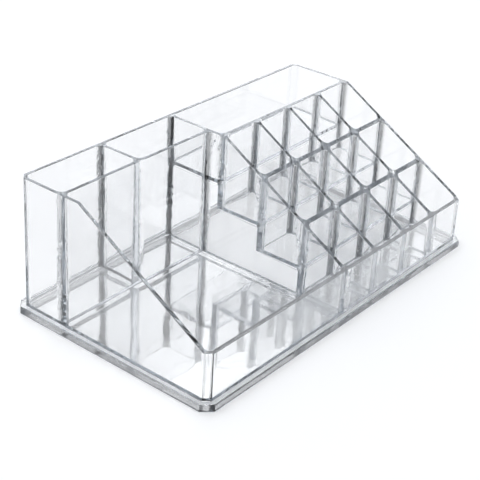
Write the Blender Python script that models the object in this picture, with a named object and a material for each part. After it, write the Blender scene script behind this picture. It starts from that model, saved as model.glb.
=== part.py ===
"""Clear desk organizer for cosmetics: two rear bins, a raised tray, an open bay and twelve lipstick cells.

The organizer is moulded in clear plastic. Every compartment is the print of one tapered core, and every
panel is the material left between the cores, so the cores are modelled once and shape all the panels:
drafted wall faces, rounded pocket corners, the fillet columns where walls meet and the fillets at the feet.
The staircase under the tray and the lipstick cells is hollow and open below.

Frame: +X along the long side, +Y to the back, +Z up, origin in the middle of the footprint on the table.
"""

import math

import bmesh
import bpy

# Overall sizes
overall_length = 0.220
overall_depth = 0.127
overall_height = 0.074

# Base: a floor plate inside a flange that stands on the table
flange_overhang = 0.003
flange_height = 0.004
flange_corner_radius = 0.0065
flange_edge_round = 0.0008
rim_width = 0.0050
floor_skin = 0.0024

# Walls, measured at the top of the high walls
wall_thickness = 0.0018
body_corner_radius = 0.0042
core_draft = math.radians(0.35)
outer_draft = math.radians(0.30)

# Pockets
pocket_corner_radius = 0.0034
floor_fillet = 0.0024

# Compartments, clear sizes between wall faces at the top of the high walls
bin_depth = 0.0250
tray_depth = 0.0341
staircase_width = 0.1060

# Profile of the sloped walls, seen from the side
front_wall_height = 0.029
flat_top_depth = 0.0393
slope_foot_setback = 0.0035

# Staircase under the tray and the lipstick cells
riser_height = 0.0145
tread_thickness = 0.0020
lipstick_columns = 4
lipstick_rows = 3

# Mould mark under the bay floor: a plain ring
mark_radius = 0.0026
mark_depth = 0.0003
mark_ring_width = 0.0005
mark_from_centre_wall = 0.0065

# Fits
seat_gap = 0.0003
joint_margin = 0.0006
cut_overrun = 0.010

# Facets of the round forms, and the least angle between two faces that stays a crisp edge
corner_facets = 5
fillet_facets = 3
mark_facets = 24
crisp_angle = math.radians(30)

CLEAR_COLOUR = (0.86, 0.89, 0.92, 1.0)
CLEAR_ROUGHNESS = 0.06
CLEAR_IOR = 1.57

half_length = overall_length / 2
half_depth = overall_depth / 2
body_half_length = half_length - flange_overhang
body_half_depth = half_depth - flange_overhang
core_slope = math.tan(core_draft)
outer_slope = math.tan(outer_draft)

# Thickest section of an inner wall and of an outer wall, at the floor
wall_rise = overall_height - flange_height
inner_wall_foot = wall_thickness + 2 * core_slope * wall_rise
outer_wall_foot = wall_thickness + (core_slope + outer_slope) * wall_rise

# How far the moulded corner columns reach from a wall's middle, or from an outer wall's face
column_reach = inner_wall_foot / 2 + pocket_corner_radius + joint_margin
outer_reach = outer_wall_foot + pocket_corner_radius + joint_margin

# Inner faces of the outer walls at the top
inner_left = -body_half_length + outer_slope * wall_rise + wall_thickness
inner_right = -inner_left
inner_front = -body_half_depth + outer_slope * wall_rise + wall_thickness
inner_back = -inner_front

# Middles of the walls that run front to back
centre_wall_x = inner_right - staircase_width - wall_thickness / 2
rear_divider_x = (inner_left + centre_wall_x - wall_thickness / 2) / 2
cell_width = (staircase_width - (lipstick_columns - 1) * wall_thickness) / lipstick_columns
column_pitch = cell_width + wall_thickness
divider_xs = [centre_wall_x + column_pitch * (i + 1) for i in range(lipstick_columns - 1)]

# Middles of the walls that run left to right
bay_rear_wall_y = inner_back - bin_depth - wall_thickness / 2
tier_rear_wall_y = inner_back - tray_depth - wall_thickness / 2
cells_back = tier_rear_wall_y - wall_thickness / 2
cell_depth = (cells_back - inner_front - (lipstick_rows - 1) * wall_thickness) / lipstick_rows
row_pitch = cell_depth + wall_thickness
cross_wall_rear_y = tier_rear_wall_y - row_pitch
cross_wall_front_y = cross_wall_rear_y - row_pitch

# Upper faces of the floors, and the level up to which a floor carries the feet of the walls
floor_level = flange_height
middle_level = floor_level + riser_height
rear_level = middle_level + riser_height
tray_level = rear_level + riser_height
kerb = floor_fillet + joint_margin

# Inner faces of the hollow under the staircase
hollow_left = centre_wall_x + inner_wall_foot / 2
hollow_right = body_half_length - outer_wall_foot
hollow_front = cross_wall_front_y + inner_wall_foot / 2
hollow_middle = cross_wall_rear_y + inner_wall_foot / 2
hollow_rear = tier_rear_wall_y + inner_wall_foot / 2
hollow_back = body_half_depth - outer_wall_foot

# Side profile of the sloped walls
slope_top_y = body_half_depth - flat_top_depth
slope_foot_y = -body_half_depth + slope_foot_setback


def slope_height(y):
    """Height of the walls' top at the depth y."""
    if y >= slope_top_y:
        return overall_height
    if y <= slope_foot_y:
        return front_wall_height
    share = (y - slope_foot_y) / (slope_top_y - slope_foot_y)
    return front_wall_height + share * (overall_height - front_wall_height)


def clear_scene():
    """Takes every object out of the scene."""
    for obj in list(bpy.data.objects):
        bpy.data.objects.remove(obj, do_unlink=True)


def clear_plastic(name):
    """A clear, glossy moulded plastic for one panel."""
    material = bpy.data.materials.new(name)
    material.use_nodes = True
    shader = material.node_tree.nodes["Principled BSDF"]
    shader.inputs["Base Color"].default_value = CLEAR_COLOUR
    shader.inputs["Roughness"].default_value = CLEAR_ROUGHNESS
    shader.inputs["Metallic"].default_value = 0.0
    shader.inputs["IOR"].default_value = CLEAR_IOR
    shader.inputs["Transmission Weight"].default_value = 1.0
    material.diffuse_color = CLEAR_COLOUR
    return material


def new_object(name, mesh_builder):
    """Makes a named object from a bmesh, with its faces pointing out."""
    bmesh.ops.recalc_face_normals(mesh_builder, faces=mesh_builder.faces)
    mesh = bpy.data.meshes.new(name)
    mesh_builder.to_mesh(mesh)
    mesh_builder.free()
    obj = bpy.data.objects.new(name, mesh)
    bpy.context.scene.collection.objects.link(obj)
    return obj


def rounded_rectangle(x_low, x_high, y_low, y_high, radius):
    """Corner points of a rectangle with round corners, counter-clockwise, all at the same count."""
    centres = (
        (x_high - radius, y_low + radius, -math.pi / 2),
        (x_high - radius, y_high - radius, 0),
        (x_low + radius, y_high - radius, math.pi / 2),
        (x_low + radius, y_low + radius, math.pi),
    )
    points = []
    for centre_x, centre_y, start in centres:
        for i in range(corner_facets + 1):
            angle = start + math.pi / 2 * i / corner_facets
            points.append((centre_x + radius * math.cos(angle), centre_y + radius * math.sin(angle)))
    return points


def loft(mesh_builder, rings):
    """Adds a closed body through a stack of rings, each a list of points and a height."""
    loops = [[mesh_builder.verts.new((x, y, z)) for x, y in points] for points, z in rings]
    for lower, upper in zip(loops, loops[1:]):
        for i in range(len(lower)):
            j = (i + 1) % len(lower)
            mesh_builder.faces.new((lower[i], lower[j], upper[j], upper[i]))
    mesh_builder.faces.new(loops[0][::-1])
    mesh_builder.faces.new(loops[-1])


def prism(mesh_builder, outline, low, high, axis):
    """Adds a polygon extruded along X, Y or Z. Its points are in the other two axes, in their order."""
    place = {
        "x": lambda a, b: (low, a, b),
        "y": lambda a, b: (a, low, b),
        "z": lambda a, b: (a, b, low),
    }[axis]
    step = {"x": (high - low, 0, 0), "y": (0, high - low, 0), "z": (0, 0, high - low)}[axis]
    face = mesh_builder.faces.new([mesh_builder.verts.new(place(a, b)) for a, b in outline])
    grown = bmesh.ops.extrude_face_region(mesh_builder, geom=[face])
    moved = [v for v in grown["geom"] if isinstance(v, bmesh.types.BMVert)]
    bmesh.ops.translate(mesh_builder, verts=moved, vec=step)


def as_cutter(obj):
    """Keeps a shaping body out of the finished model."""
    obj.hide_render = True
    obj.display_type = "WIRE"
    return obj


def boolean(obj, operation, other):
    """Shapes an object by another, which stays live."""
    modifier = obj.modifiers.new(operation.title(), "BOOLEAN")
    modifier.operation = operation
    modifier.solver = "EXACT"
    modifier.object = other


def pocket_core(mesh_builder, x_low, x_high, y_low, y_high, floor):
    """Adds the core of one compartment: tapered, with round corners and a fillet round its floor.

    The four sides are given at the top of the high walls; lower down the core is narrower by its draft.
    """

    def ring(height, inset):
        shrink = core_slope * (overall_height - height) + inset
        sides = (x_low + shrink, x_high - shrink, y_low + shrink, y_high - shrink)
        return rounded_rectangle(*sides, pocket_corner_radius - inset), height

    rings = []
    for i in range(fillet_facets):
        angle = math.pi / 2 * i / fillet_facets
        height = floor + floor_fillet * (1 - math.cos(angle))
        rings.append(ring(height, floor_fillet * (1 - math.sin(angle))))
    rings.append(ring(floor + floor_fillet, 0))
    rings.append(ring(overall_height + cut_overrun, 0))
    loft(mesh_builder, rings)


def make_cores():
    """The cores of all the compartments, as one shaping body."""
    builder = bmesh.new()
    half_wall = wall_thickness / 2
    bins = ((inner_left, rear_divider_x - half_wall), (rear_divider_x + half_wall, centre_wall_x - half_wall))
    for x_low, x_high in bins:
        pocket_core(builder, x_low, x_high, bay_rear_wall_y + half_wall, inner_back, floor_level)
    bay_right = centre_wall_x - half_wall
    pocket_core(builder, inner_left, bay_right, inner_front, bay_rear_wall_y - half_wall, floor_level)
    tray_left = centre_wall_x + half_wall
    pocket_core(builder, tray_left, inner_right, tier_rear_wall_y + half_wall, inner_back, tray_level)
    for column in range(lipstick_columns):
        x_low = tray_left + column * column_pitch
        for row in range(lipstick_rows):
            y_high = cells_back - row * row_pitch
            floor = rear_level - row * riser_height
            pocket_core(builder, x_low, x_low + cell_width, y_high - cell_depth, y_high, floor)
    return as_cutter(new_object("pocket_cores", builder))


def make_hollow():
    """The stepped core of the hollow under the staircase, open below."""
    builder = bmesh.new()
    outline = (
        (hollow_front, -cut_overrun),
        (hollow_front, middle_level - tread_thickness),
        (hollow_middle, middle_level - tread_thickness),
        (hollow_middle, rear_level - tread_thickness),
        (hollow_rear, rear_level - tread_thickness),
        (hollow_rear, tray_level - tread_thickness),
        (hollow_back, tray_level - tread_thickness),
        (hollow_back, -cut_overrun),
    )
    prism(builder, outline, hollow_left, hollow_right, "x")
    return as_cutter(new_object("staircase_hollow", builder))


def make_slope_cutter():
    """The space over the sloped walls and the low front wall."""
    builder = bmesh.new()
    beyond = -half_depth - cut_overrun
    above = overall_height + cut_overrun
    fall = (overall_height - front_wall_height) / (slope_top_y - slope_foot_y)
    outline = (
        (slope_top_y + cut_overrun / fall, above),
        (beyond, above),
        (beyond, front_wall_height),
        (slope_foot_y, front_wall_height),
    )
    prism(builder, outline, -half_length - cut_overrun, half_length + cut_overrun, "x")
    return as_cutter(new_object("slope_cutter", builder))


def body_ring(height, grow=0.0):
    """Outline of the organizer's outer walls at one height, with their draft."""
    inset = outer_slope * (height - flange_height) - grow
    x_side = body_half_length - inset
    y_side = body_half_depth - inset
    return rounded_rectangle(-x_side, x_side, -y_side, y_side, body_corner_radius + grow), height


def make_outer_form(slope_cutter, hollow):
    """The whole body from outside: drafted walls, round upright corners, the slope and the hollow."""
    builder = bmesh.new()
    loft(builder, [body_ring(-cut_overrun), body_ring(overall_height)])
    form = as_cutter(new_object("outer_form", builder))
    boolean(form, "DIFFERENCE", slope_cutter)
    boolean(form, "DIFFERENCE", hollow)
    return form


def finish_panel(obj, material_name):
    """Gives a panel its plastic and smooth shading between its edges."""
    obj.data.materials.append(clear_plastic(material_name))
    obj.data.shade_smooth()
    obj.data.set_sharp_from_angle(angle=crisp_angle)


def panel(name, regions, outer_form, cores):
    """Makes one wall or floor: its place in the organizer, shaped by the outer form and the cores.

    A region is an outline, its low and high ends and the axis along which it is extruded.
    """
    builder = bmesh.new()
    outline, low, high, axis = regions[0]
    prism(builder, outline, low, high, axis)
    obj = new_object(name, builder)
    for i, (outline, low, high, axis) in enumerate(regions[1:]):
        extra = bmesh.new()
        prism(extra, outline, low, high, axis)
        boolean(obj, "UNION", as_cutter(new_object(f"{name}_region_{i + 2}", extra)))
    boolean(obj, "INTERSECT", outer_form)
    boolean(obj, "DIFFERENCE", cores)
    finish_panel(obj, name + "_plastic")
    return obj


def box_outline(a_low, a_high, b_low, b_high):
    """A rectangle as an outline."""
    return ((a_low, b_low), (a_high, b_low), (a_high, b_high), (a_low, b_high))


half_gap = seat_gap / 2
above_all = overall_height + cut_overrun
beyond_x = half_length + cut_overrun
beyond_y = half_depth + cut_overrun
foot = floor_level + kerb + half_gap
left_edge = -body_half_length + outer_reach
right_edge = body_half_length - outer_reach
front_edge = -body_half_depth + outer_reach
back_edge = body_half_depth - outer_reach

# Each step of the staircase: the depth at which it ends and the level of its floor
steps = (
    (hollow_front, floor_level),
    (hollow_middle, middle_level),
    (hollow_rear, rear_level),
    (hollow_back, tray_level),
)


def stepped_outline(y_low, y_high):
    """Side outline of a wall that stands on the stairs, from y_low to y_high."""
    points = [(y_low, above_all), (y_low, foot)]
    for (end, level), (_, next_level) in zip(steps, steps[1:]):
        points.append((end - half_gap, level + kerb + half_gap))
        points.append((end - half_gap, next_level + kerb + half_gap))
    points.append((y_high, steps[-1][1] + kerb + half_gap))
    points.append((y_high, above_all))
    return points


def make_base(cores, hollow):
    """The floor plate with its standing flange and the feet of the walls on it."""
    builder = bmesh.new()

    def flange_ring(height, inset):
        sides = (-half_length + inset, half_length - inset, -half_depth + inset, half_depth - inset)
        return rounded_rectangle(*sides, flange_corner_radius - inset), height

    loft(
        builder,
        [
            flange_ring(0, flange_edge_round / 2),
            flange_ring(flange_edge_round / 2, 0),
            flange_ring(flange_height - flange_edge_round, 0),
            flange_ring(flange_height - flange_edge_round / 4, flange_edge_round / 4),
            flange_ring(flange_height, flange_edge_round),
            body_ring(flange_height, flange_edge_round),
            body_ring(flange_height + flange_edge_round / 4, flange_edge_round / 4),
            body_ring(flange_height + flange_edge_round),
            body_ring(floor_level + kerb - half_gap),
        ],
    )
    base = new_object("base_plate", builder)
    boolean(base, "DIFFERENCE", cores)
    boolean(base, "DIFFERENCE", hollow)
    boolean(base, "DIFFERENCE", make_underside_recess())
    boolean(base, "DIFFERENCE", make_mould_mark())
    finish_panel(base, "base_plate_plastic")
    return base


def make_underside_recess():
    """The shallow recesses under the floor, inside the standing rim and beside the staircase hollow."""
    builder = bmesh.new()
    recess = flange_height - floor_skin
    inner_x = half_length - rim_width
    inner_y = half_depth - rim_width
    stair_left = hollow_left - inner_wall_foot
    stair_front = hollow_front - inner_wall_foot
    radius = pocket_corner_radius
    left_part = rounded_rectangle(-inner_x, stair_left, -inner_y, inner_y, radius)
    front_part = rounded_rectangle(stair_left + rim_width, inner_x, -inner_y, stair_front, radius)
    loft(builder, [(left_part, -cut_overrun), (left_part, recess)])
    loft(builder, [(front_part, -cut_overrun), (front_part, recess)])
    return as_cutter(new_object("underside_recess", builder))


def make_mould_mark():
    """A plain shallow ring in the underside of the bay floor."""
    builder = bmesh.new()
    centre_x = centre_wall_x - mark_from_centre_wall
    underside = flange_height - floor_skin

    def circle(radius):
        turns = [math.tau * i / mark_facets for i in range(mark_facets)]
        return [(centre_x + radius * math.cos(t), radius * math.sin(t)) for t in turns]

    outer, inner = circle(mark_radius), circle(mark_radius - mark_ring_width)
    loops = []
    for points, z in ((inner, -cut_overrun), (outer, -cut_overrun)):
        loops.append([builder.verts.new((x, y, z)) for x, y in points])
    for points in (outer, inner):
        loops.append([builder.verts.new((x, y, underside + mark_depth)) for x, y in points])
    for lower, upper in zip(loops, loops[1:] + loops[:1]):
        for i in range(mark_facets):
            j = (i + 1) % mark_facets
            builder.faces.new((lower[i], lower[j], upper[j], upper[i]))
    return as_cutter(new_object("mould_mark", builder))


def make_outer_walls(outer_form, cores):
    """The left, right, front and back walls."""
    whole = box_outline(-beyond_y, beyond_y, foot, above_all)
    panel("left_wall", [(whole, -beyond_x, left_edge - half_gap, "x")], outer_form, cores)
    panel(
        "right_wall",
        [
            (whole, hollow_right + half_gap, beyond_x, "x"),
            (stepped_outline(-beyond_y, beyond_y), right_edge + half_gap, beyond_x, "x"),
        ],
        outer_form,
        cores,
    )
    across = box_outline(left_edge + half_gap, right_edge - half_gap, foot, above_all)
    panel("front_wall", [(across, -beyond_y, front_edge - half_gap, "y")], outer_form, cores)
    over_tray = tray_level + kerb + half_gap
    under_corner = tray_level + kerb - half_gap
    with_columns = (
        (left_edge + half_gap, foot),
        (hollow_left - half_gap, foot),
        (hollow_left - half_gap, over_tray),
        (right_edge - half_gap, over_tray),
        (right_edge - half_gap, above_all),
        (left_edge + half_gap, above_all),
    )
    behind_stairs = (
        (centre_wall_x, foot),
        (hollow_right - half_gap, foot),
        (hollow_right - half_gap, under_corner),
        (right_edge - half_gap, under_corner),
        (right_edge - half_gap, above_all),
        (centre_wall_x, above_all),
    )
    panel(
        "back_wall",
        [
            (with_columns, back_edge + half_gap, beyond_y, "y"),
            (behind_stairs, hollow_back + half_gap, beyond_y, "y"),
        ],
        outer_form,
        cores,
    )


def make_inner_walls(outer_form, cores):
    """The walls of the bins and the bay, and the centre wall that carries the left of the staircase."""
    x_low, x_high = left_edge + half_gap, centre_wall_x - column_reach - half_gap
    y_low, y_high = bay_rear_wall_y - column_reach, bay_rear_wall_y + column_reach
    bay_outline = box_outline(x_low, x_high, foot, above_all)
    panel("bay_rear_wall", [(bay_outline, y_low + half_gap, y_high - half_gap, "y")], outer_form, cores)
    divider_outline = box_outline(y_high + half_gap, back_edge - half_gap, foot, above_all)
    x_low, x_high = rear_divider_x - column_reach, rear_divider_x + column_reach
    panel("rear_divider", [(divider_outline, x_low + half_gap, x_high - half_gap, "x")], outer_form, cores)
    y_low, y_high = front_edge + half_gap, back_edge - half_gap
    x_low, x_high = centre_wall_x - column_reach + half_gap, centre_wall_x + column_reach - half_gap
    panel(
        "centre_wall",
        [
            (box_outline(y_low, y_high, foot, above_all), x_low, hollow_left - half_gap, "x"),
            (stepped_outline(y_low, y_high), x_low, x_high, "x"),
        ],
        outer_form,
        cores,
    )


def lap_height(y, level):
    """Height of the halving joint where two walls cross: midway up from the higher floor beside it."""
    return (level + kerb + slope_height(y)) / 2


def make_cross_walls(outer_form, cores):
    """The wall behind the cells and the two walls between their rows, each one piece across the stairs.

    The walls between rows are notched from above for the dividers, which are notched from below.
    """
    x_low, x_high = centre_wall_x + column_reach + half_gap, right_edge - half_gap
    places = (
        ("tier_rear_wall", tier_rear_wall_y, hollow_rear, rear_level, tray_level, False),
        ("cross_wall_rear", cross_wall_rear_y, hollow_middle, middle_level, rear_level, True),
        ("cross_wall_front", cross_wall_front_y, hollow_front, floor_level, middle_level, True),
    )
    for name, middle, hollow_face, front_level, behind_level, notched in places:
        front_foot = front_level + kerb + half_gap
        behind_foot = behind_level + kerb + half_gap
        outline = (
            (middle - column_reach + half_gap, front_foot),
            (hollow_face - half_gap, front_foot),
            (hollow_face - half_gap, behind_foot),
            (middle + column_reach - half_gap, behind_foot),
            (middle + column_reach - half_gap, above_all),
            (middle - column_reach + half_gap, above_all),
        )
        wall = panel(name, [(outline, x_low, x_high, "x")], outer_form, cores)
        if notched:
            lap = lap_height(middle, behind_level)
            boolean(wall, "DIFFERENCE", make_notches(name, middle, lap))


def make_notches(name, middle, lap):
    """The slots in a cross wall, open above, one for each cell divider."""
    builder = bmesh.new()
    for x in divider_xs:
        outline = box_outline(middle - 2 * column_reach, middle + 2 * column_reach, lap - half_gap, above_all)
        reach = column_reach + half_gap
        prism(builder, outline, x - reach, x + reach, "x")
    return as_cutter(new_object(name + "_notches", builder))


def make_cell_dividers(outer_form, cores):
    """The sloped walls between the columns of cells, notched from below over the cross walls."""
    lap_front = lap_height(cross_wall_front_y, middle_level) + half_gap
    lap_rear = lap_height(cross_wall_rear_y, rear_level) + half_gap
    reach = column_reach + half_gap
    outline = (
        (front_edge + half_gap, above_all),
        (front_edge + half_gap, foot),
        (cross_wall_front_y - reach, foot),
        (cross_wall_front_y - reach, lap_front),
        (cross_wall_front_y + reach, lap_front),
        (cross_wall_front_y + reach, middle_level + kerb + half_gap),
        (cross_wall_rear_y - reach, middle_level + kerb + half_gap),
        (cross_wall_rear_y - reach, lap_rear),
        (cross_wall_rear_y + reach, lap_rear),
        (cross_wall_rear_y + reach, rear_level + kerb + half_gap),
        (tier_rear_wall_y - reach, rear_level + kerb + half_gap),
        (tier_rear_wall_y - reach, above_all),
    )
    for i, x in enumerate(divider_xs):
        ends = (x - column_reach + half_gap, x + column_reach - half_gap)
        panel(f"cell_divider_{i + 1}", [(outline, *ends, "x")], outer_form, cores)


def make_treads(outer_form, cores):
    """The floors of the tray and of the two raised rows of cells, with the feet of the walls on them."""
    places = (
        ("middle_tread", hollow_front, hollow_middle, middle_level),
        ("rear_tread", hollow_middle, hollow_rear, rear_level),
        ("tray_floor", hollow_rear, hollow_back, tray_level),
    )
    for name, y_low, y_high, level in places:
        top = level + kerb - half_gap
        bottom = level - tread_thickness - cut_overrun
        ends = (hollow_left + half_gap, hollow_right - half_gap)
        outline = box_outline(y_low + half_gap, y_high - half_gap, bottom, top)
        panel(name, [(outline, *ends, "x")], outer_form, cores)


def main():
    """Builds the organizer."""
    clear_scene()
    cores = make_cores()
    hollow = make_hollow()
    outer_form = make_outer_form(make_slope_cutter(), hollow)
    make_base(cores, hollow)
    make_outer_walls(outer_form, cores)
    make_inner_walls(outer_form, cores)
    make_cross_walls(outer_form, cores)
    make_cell_dividers(outer_form, cores)
    make_treads(outer_form, cores)


main()
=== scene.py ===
"""Looks of a clear cosmetics organizer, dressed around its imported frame.

The organizer is one clear moulding. Its surfaces are worked out with numpy: a drafted outer form, sixteen
tapered pocket cores, the stepped hollow under the stairs and the recesses below. The moulding is then parted
into its panels along the same joints as the frame's nodes, so that each panel is a closed piece of its own.
The faces in the joints let light pass unbent, so the panels look like the unbroken plastic that they are.

All lengths are in metres, +X to the right, +Y to the back and +Z up, as in the frame.
"""

import logging
import math
from dataclasses import dataclass, field
from enum import Enum
from typing import Callable, Iterable, Sequence

import bmesh
import bpy
import numpy as np
from mathutils import Matrix, Vector


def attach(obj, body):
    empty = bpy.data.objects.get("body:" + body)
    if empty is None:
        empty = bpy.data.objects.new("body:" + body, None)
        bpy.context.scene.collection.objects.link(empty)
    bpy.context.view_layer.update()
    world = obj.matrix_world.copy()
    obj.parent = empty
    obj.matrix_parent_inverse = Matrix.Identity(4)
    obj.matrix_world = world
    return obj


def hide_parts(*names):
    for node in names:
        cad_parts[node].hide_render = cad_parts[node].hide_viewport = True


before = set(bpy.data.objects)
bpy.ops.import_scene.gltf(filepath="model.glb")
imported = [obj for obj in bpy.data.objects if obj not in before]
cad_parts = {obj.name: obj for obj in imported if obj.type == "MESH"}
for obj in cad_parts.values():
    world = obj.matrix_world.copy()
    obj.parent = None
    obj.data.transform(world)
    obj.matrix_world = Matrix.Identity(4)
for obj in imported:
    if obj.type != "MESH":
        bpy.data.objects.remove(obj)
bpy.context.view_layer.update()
LOG = logging.getLogger("organizer")

Outline = Sequence[tuple[float, float]]
Growth = Callable[[np.ndarray], np.ndarray]
Source = bpy.types.NodeSocket | float | Sequence[float]
BODY = "root"
JOINT_MASK = "joint_face"
ROUND_MASK = "round_face"
# Face attribute of painted shade: how dark a face's colour is painted, from 0 to 1
PAINTED_SHADE_MASK = "painted_shade_face"
# How often the height and the place of a point on the slope are worked out from each other
SLOPE_PASSES = 2


class Carve(Enum):
    """How one solid shapes another."""

    JOIN = "UNION"
    CUT = "DIFFERENCE"
    KEEP = "INTERSECT"


class Along(Enum):
    """The axis along which an outline is extruded. Its points are in the other two axes, in their order."""

    X = 0
    Y = 1
    Z = 2


@dataclass(frozen=True)
class Region:
    """A straight prism that takes one panel, or a part of it, out of the moulding."""

    outline: Outline
    low: float
    high: float
    along: Along
    how: Carve = Carve.JOIN


@dataclass(frozen=True)
class Sizes:
    """Driving sizes of the moulding, and the places that follow from them."""

    overall_length: float = 0.220
    overall_depth: float = 0.127
    overall_height: float = 0.074

    flange_overhang: float = 0.003
    flange_height: float = 0.004
    flange_edge_round: float = 0.0008
    flange_foot_round: float = 0.0002
    rim_width: float = 0.0050
    floor_skin: float = 0.0024

    wall_thickness: float = 0.0018
    wall_top_round: float = 0.00035
    corner_cut: float = 0.0033
    corner_cut_round: float = 0.0005
    core_draft: float = math.radians(0.35)
    outer_draft: float = math.radians(0.30)

    pocket_corner_radius: float = 0.0034
    kerb_fillet: float = 0.0024
    floor_round: float = 0.0005

    bin_depth: float = 0.0250
    tray_depth: float = 0.0341
    staircase_width: float = 0.1060

    front_wall_height: float = 0.029
    flat_top_depth: float = 0.0393
    slope_foot_setback: float = 0.0035

    riser_height: float = 0.0145
    tread_thickness: float = 0.0020
    hollow_edge_round: float = 0.0009
    columns: int = 4
    rows: int = 3

    mark_radius: float = 0.0026
    mark_depth: float = 0.0003
    mark_ring_width: float = 0.0005
    mark_from_centre_wall: float = 0.0065

    joint_gap: float = 0.00002
    joint_margin: float = 0.0006
    hollow_seam: float = 0.0001
    overrun: float = 0.010

    @property
    def half_length(self) -> float:
        """Half of the overall length."""
        return self.overall_length / 2

    @property
    def half_depth(self) -> float:
        """Half of the overall depth."""
        return self.overall_depth / 2

    @property
    def body_half_length(self) -> float:
        """From the middle to the side walls' outer faces at their foot."""
        return self.half_length - self.flange_overhang

    @property
    def body_half_depth(self) -> float:
        """From the middle to the front and back walls' outer faces at their foot."""
        return self.half_depth - self.flange_overhang

    @property
    def core_slope(self) -> float:
        """How much a pocket's wall face leans for each metre of height."""
        return math.tan(self.core_draft)

    @property
    def outer_slope(self) -> float:
        """How much an outer face leans for each metre of height."""
        return math.tan(self.outer_draft)

    @property
    def wall_rise(self) -> float:
        """Height of the high walls over the flange."""
        return self.overall_height - self.flange_height

    @property
    def inner_wall_foot(self) -> float:
        """Thickness of an inner wall at the floor."""
        return self.wall_thickness + 2 * self.core_slope * self.wall_rise

    @property
    def outer_wall_foot(self) -> float:
        """Thickness of an outer wall at the floor."""
        return self.wall_thickness + (self.core_slope + self.outer_slope) * self.wall_rise

    @property
    def column_reach(self) -> float:
        """From an inner wall's middle to the far edge of the fillet columns on it."""
        return self.inner_wall_foot / 2 + self.pocket_corner_radius + self.joint_margin

    @property
    def outer_reach(self) -> float:
        """From an outer wall's face to the far edge of the fillet columns inside it."""
        return self.outer_wall_foot + self.pocket_corner_radius + self.joint_margin

    @property
    def inner_left(self) -> float:
        """Inner face of the left wall at the top."""
        return -self.body_half_length + self.outer_slope * self.wall_rise + self.wall_thickness

    @property
    def inner_front(self) -> float:
        """Inner face of the front wall at the height of the high walls."""
        return -self.body_half_depth + self.outer_slope * self.wall_rise + self.wall_thickness

    @property
    def centre_wall_x(self) -> float:
        """Middle of the wall between the bay and the cells."""
        return -self.inner_left - self.staircase_width - self.wall_thickness / 2

    @property
    def rear_divider_x(self) -> float:
        """Middle of the wall between the two rear bins."""
        return (self.inner_left + self.centre_wall_x - self.wall_thickness / 2) / 2

    @property
    def cell_width(self) -> float:
        """Clear width of a lipstick cell at the top."""
        return (self.staircase_width - (self.columns - 1) * self.wall_thickness) / self.columns

    @property
    def column_pitch(self) -> float:
        """From one column of cells to the next."""
        return self.cell_width + self.wall_thickness

    @property
    def divider_xs(self) -> list[float]:
        """Middles of the dividers between the columns of cells."""
        return [self.centre_wall_x + self.column_pitch * (i + 1) for i in range(self.columns - 1)]

    @property
    def bay_rear_wall_y(self) -> float:
        """Middle of the wall between the bay and the rear bins."""
        return -self.inner_front - self.bin_depth - self.wall_thickness / 2

    @property
    def tier_rear_wall_y(self) -> float:
        """Middle of the wall between the tray and the cells."""
        return -self.inner_front - self.tray_depth - self.wall_thickness / 2

    @property
    def cells_back(self) -> float:
        """Rear face of the rear row of cells at the top."""
        return self.tier_rear_wall_y - self.wall_thickness / 2

    @property
    def cell_depth(self) -> float:
        """Clear depth of a lipstick cell at the top."""
        clear = self.cells_back - self.inner_front - (self.rows - 1) * self.wall_thickness
        return clear / self.rows

    @property
    def row_pitch(self) -> float:
        """From one row of cells to the next."""
        return self.cell_depth + self.wall_thickness

    @property
    def cross_wall_ys(self) -> tuple[float, float]:
        """Middles of the walls behind the middle row and behind the front row of cells."""
        return (self.tier_rear_wall_y - self.row_pitch, self.tier_rear_wall_y - 2 * self.row_pitch)

    @property
    def levels(self) -> tuple[float, float, float, float]:
        """Upper faces of the base floor, the middle tread, the rear tread and the tray floor."""
        floor, rise = self.flange_height, self.riser_height
        return (floor, floor + rise, floor + 2 * rise, floor + 3 * rise)

    @property
    def kerb(self) -> float:
        """Height over a floor up to which the floor's piece carries the feet of the walls."""
        return self.kerb_fillet + self.joint_margin

    @property
    def hollow_left(self) -> float:
        """Left inner face of the hollow under the stairs."""
        return self.centre_wall_x + self.inner_wall_foot / 2

    @property
    def hollow_right(self) -> float:
        """Right inner face of the hollow under the stairs."""
        return self.body_half_length - self.outer_wall_foot

    @property
    def hollow_ends(self) -> tuple[float, float, float, float]:
        """Depths at which the hollow starts, steps up twice, and ends at the back wall."""
        half = self.inner_wall_foot / 2
        rear, front = self.cross_wall_ys
        back = self.body_half_depth - self.outer_wall_foot
        return (front + half, rear + half, self.tier_rear_wall_y + half, back)

    @property
    def slope_top_y(self) -> float:
        """Depth at which the flat top ends and the slope begins."""
        return self.body_half_depth - self.flat_top_depth

    @property
    def slope_foot_y(self) -> float:
        """Depth at which the slope meets the low front top."""
        return -self.body_half_depth + self.slope_foot_setback

    def top_height(self, y: np.ndarray | float) -> np.ndarray:
        """Height of the walls' top at depths: level, then a straight slope, then level."""
        depths = (self.slope_foot_y, self.slope_top_y)
        return np.interp(y, depths, (self.front_wall_height, self.overall_height))


def unit(angles: np.ndarray) -> np.ndarray:
    """Unit vectors at angles from +X, along a last axis of their own."""
    return np.stack((np.cos(angles), np.sin(angles)), axis=-1)


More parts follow.
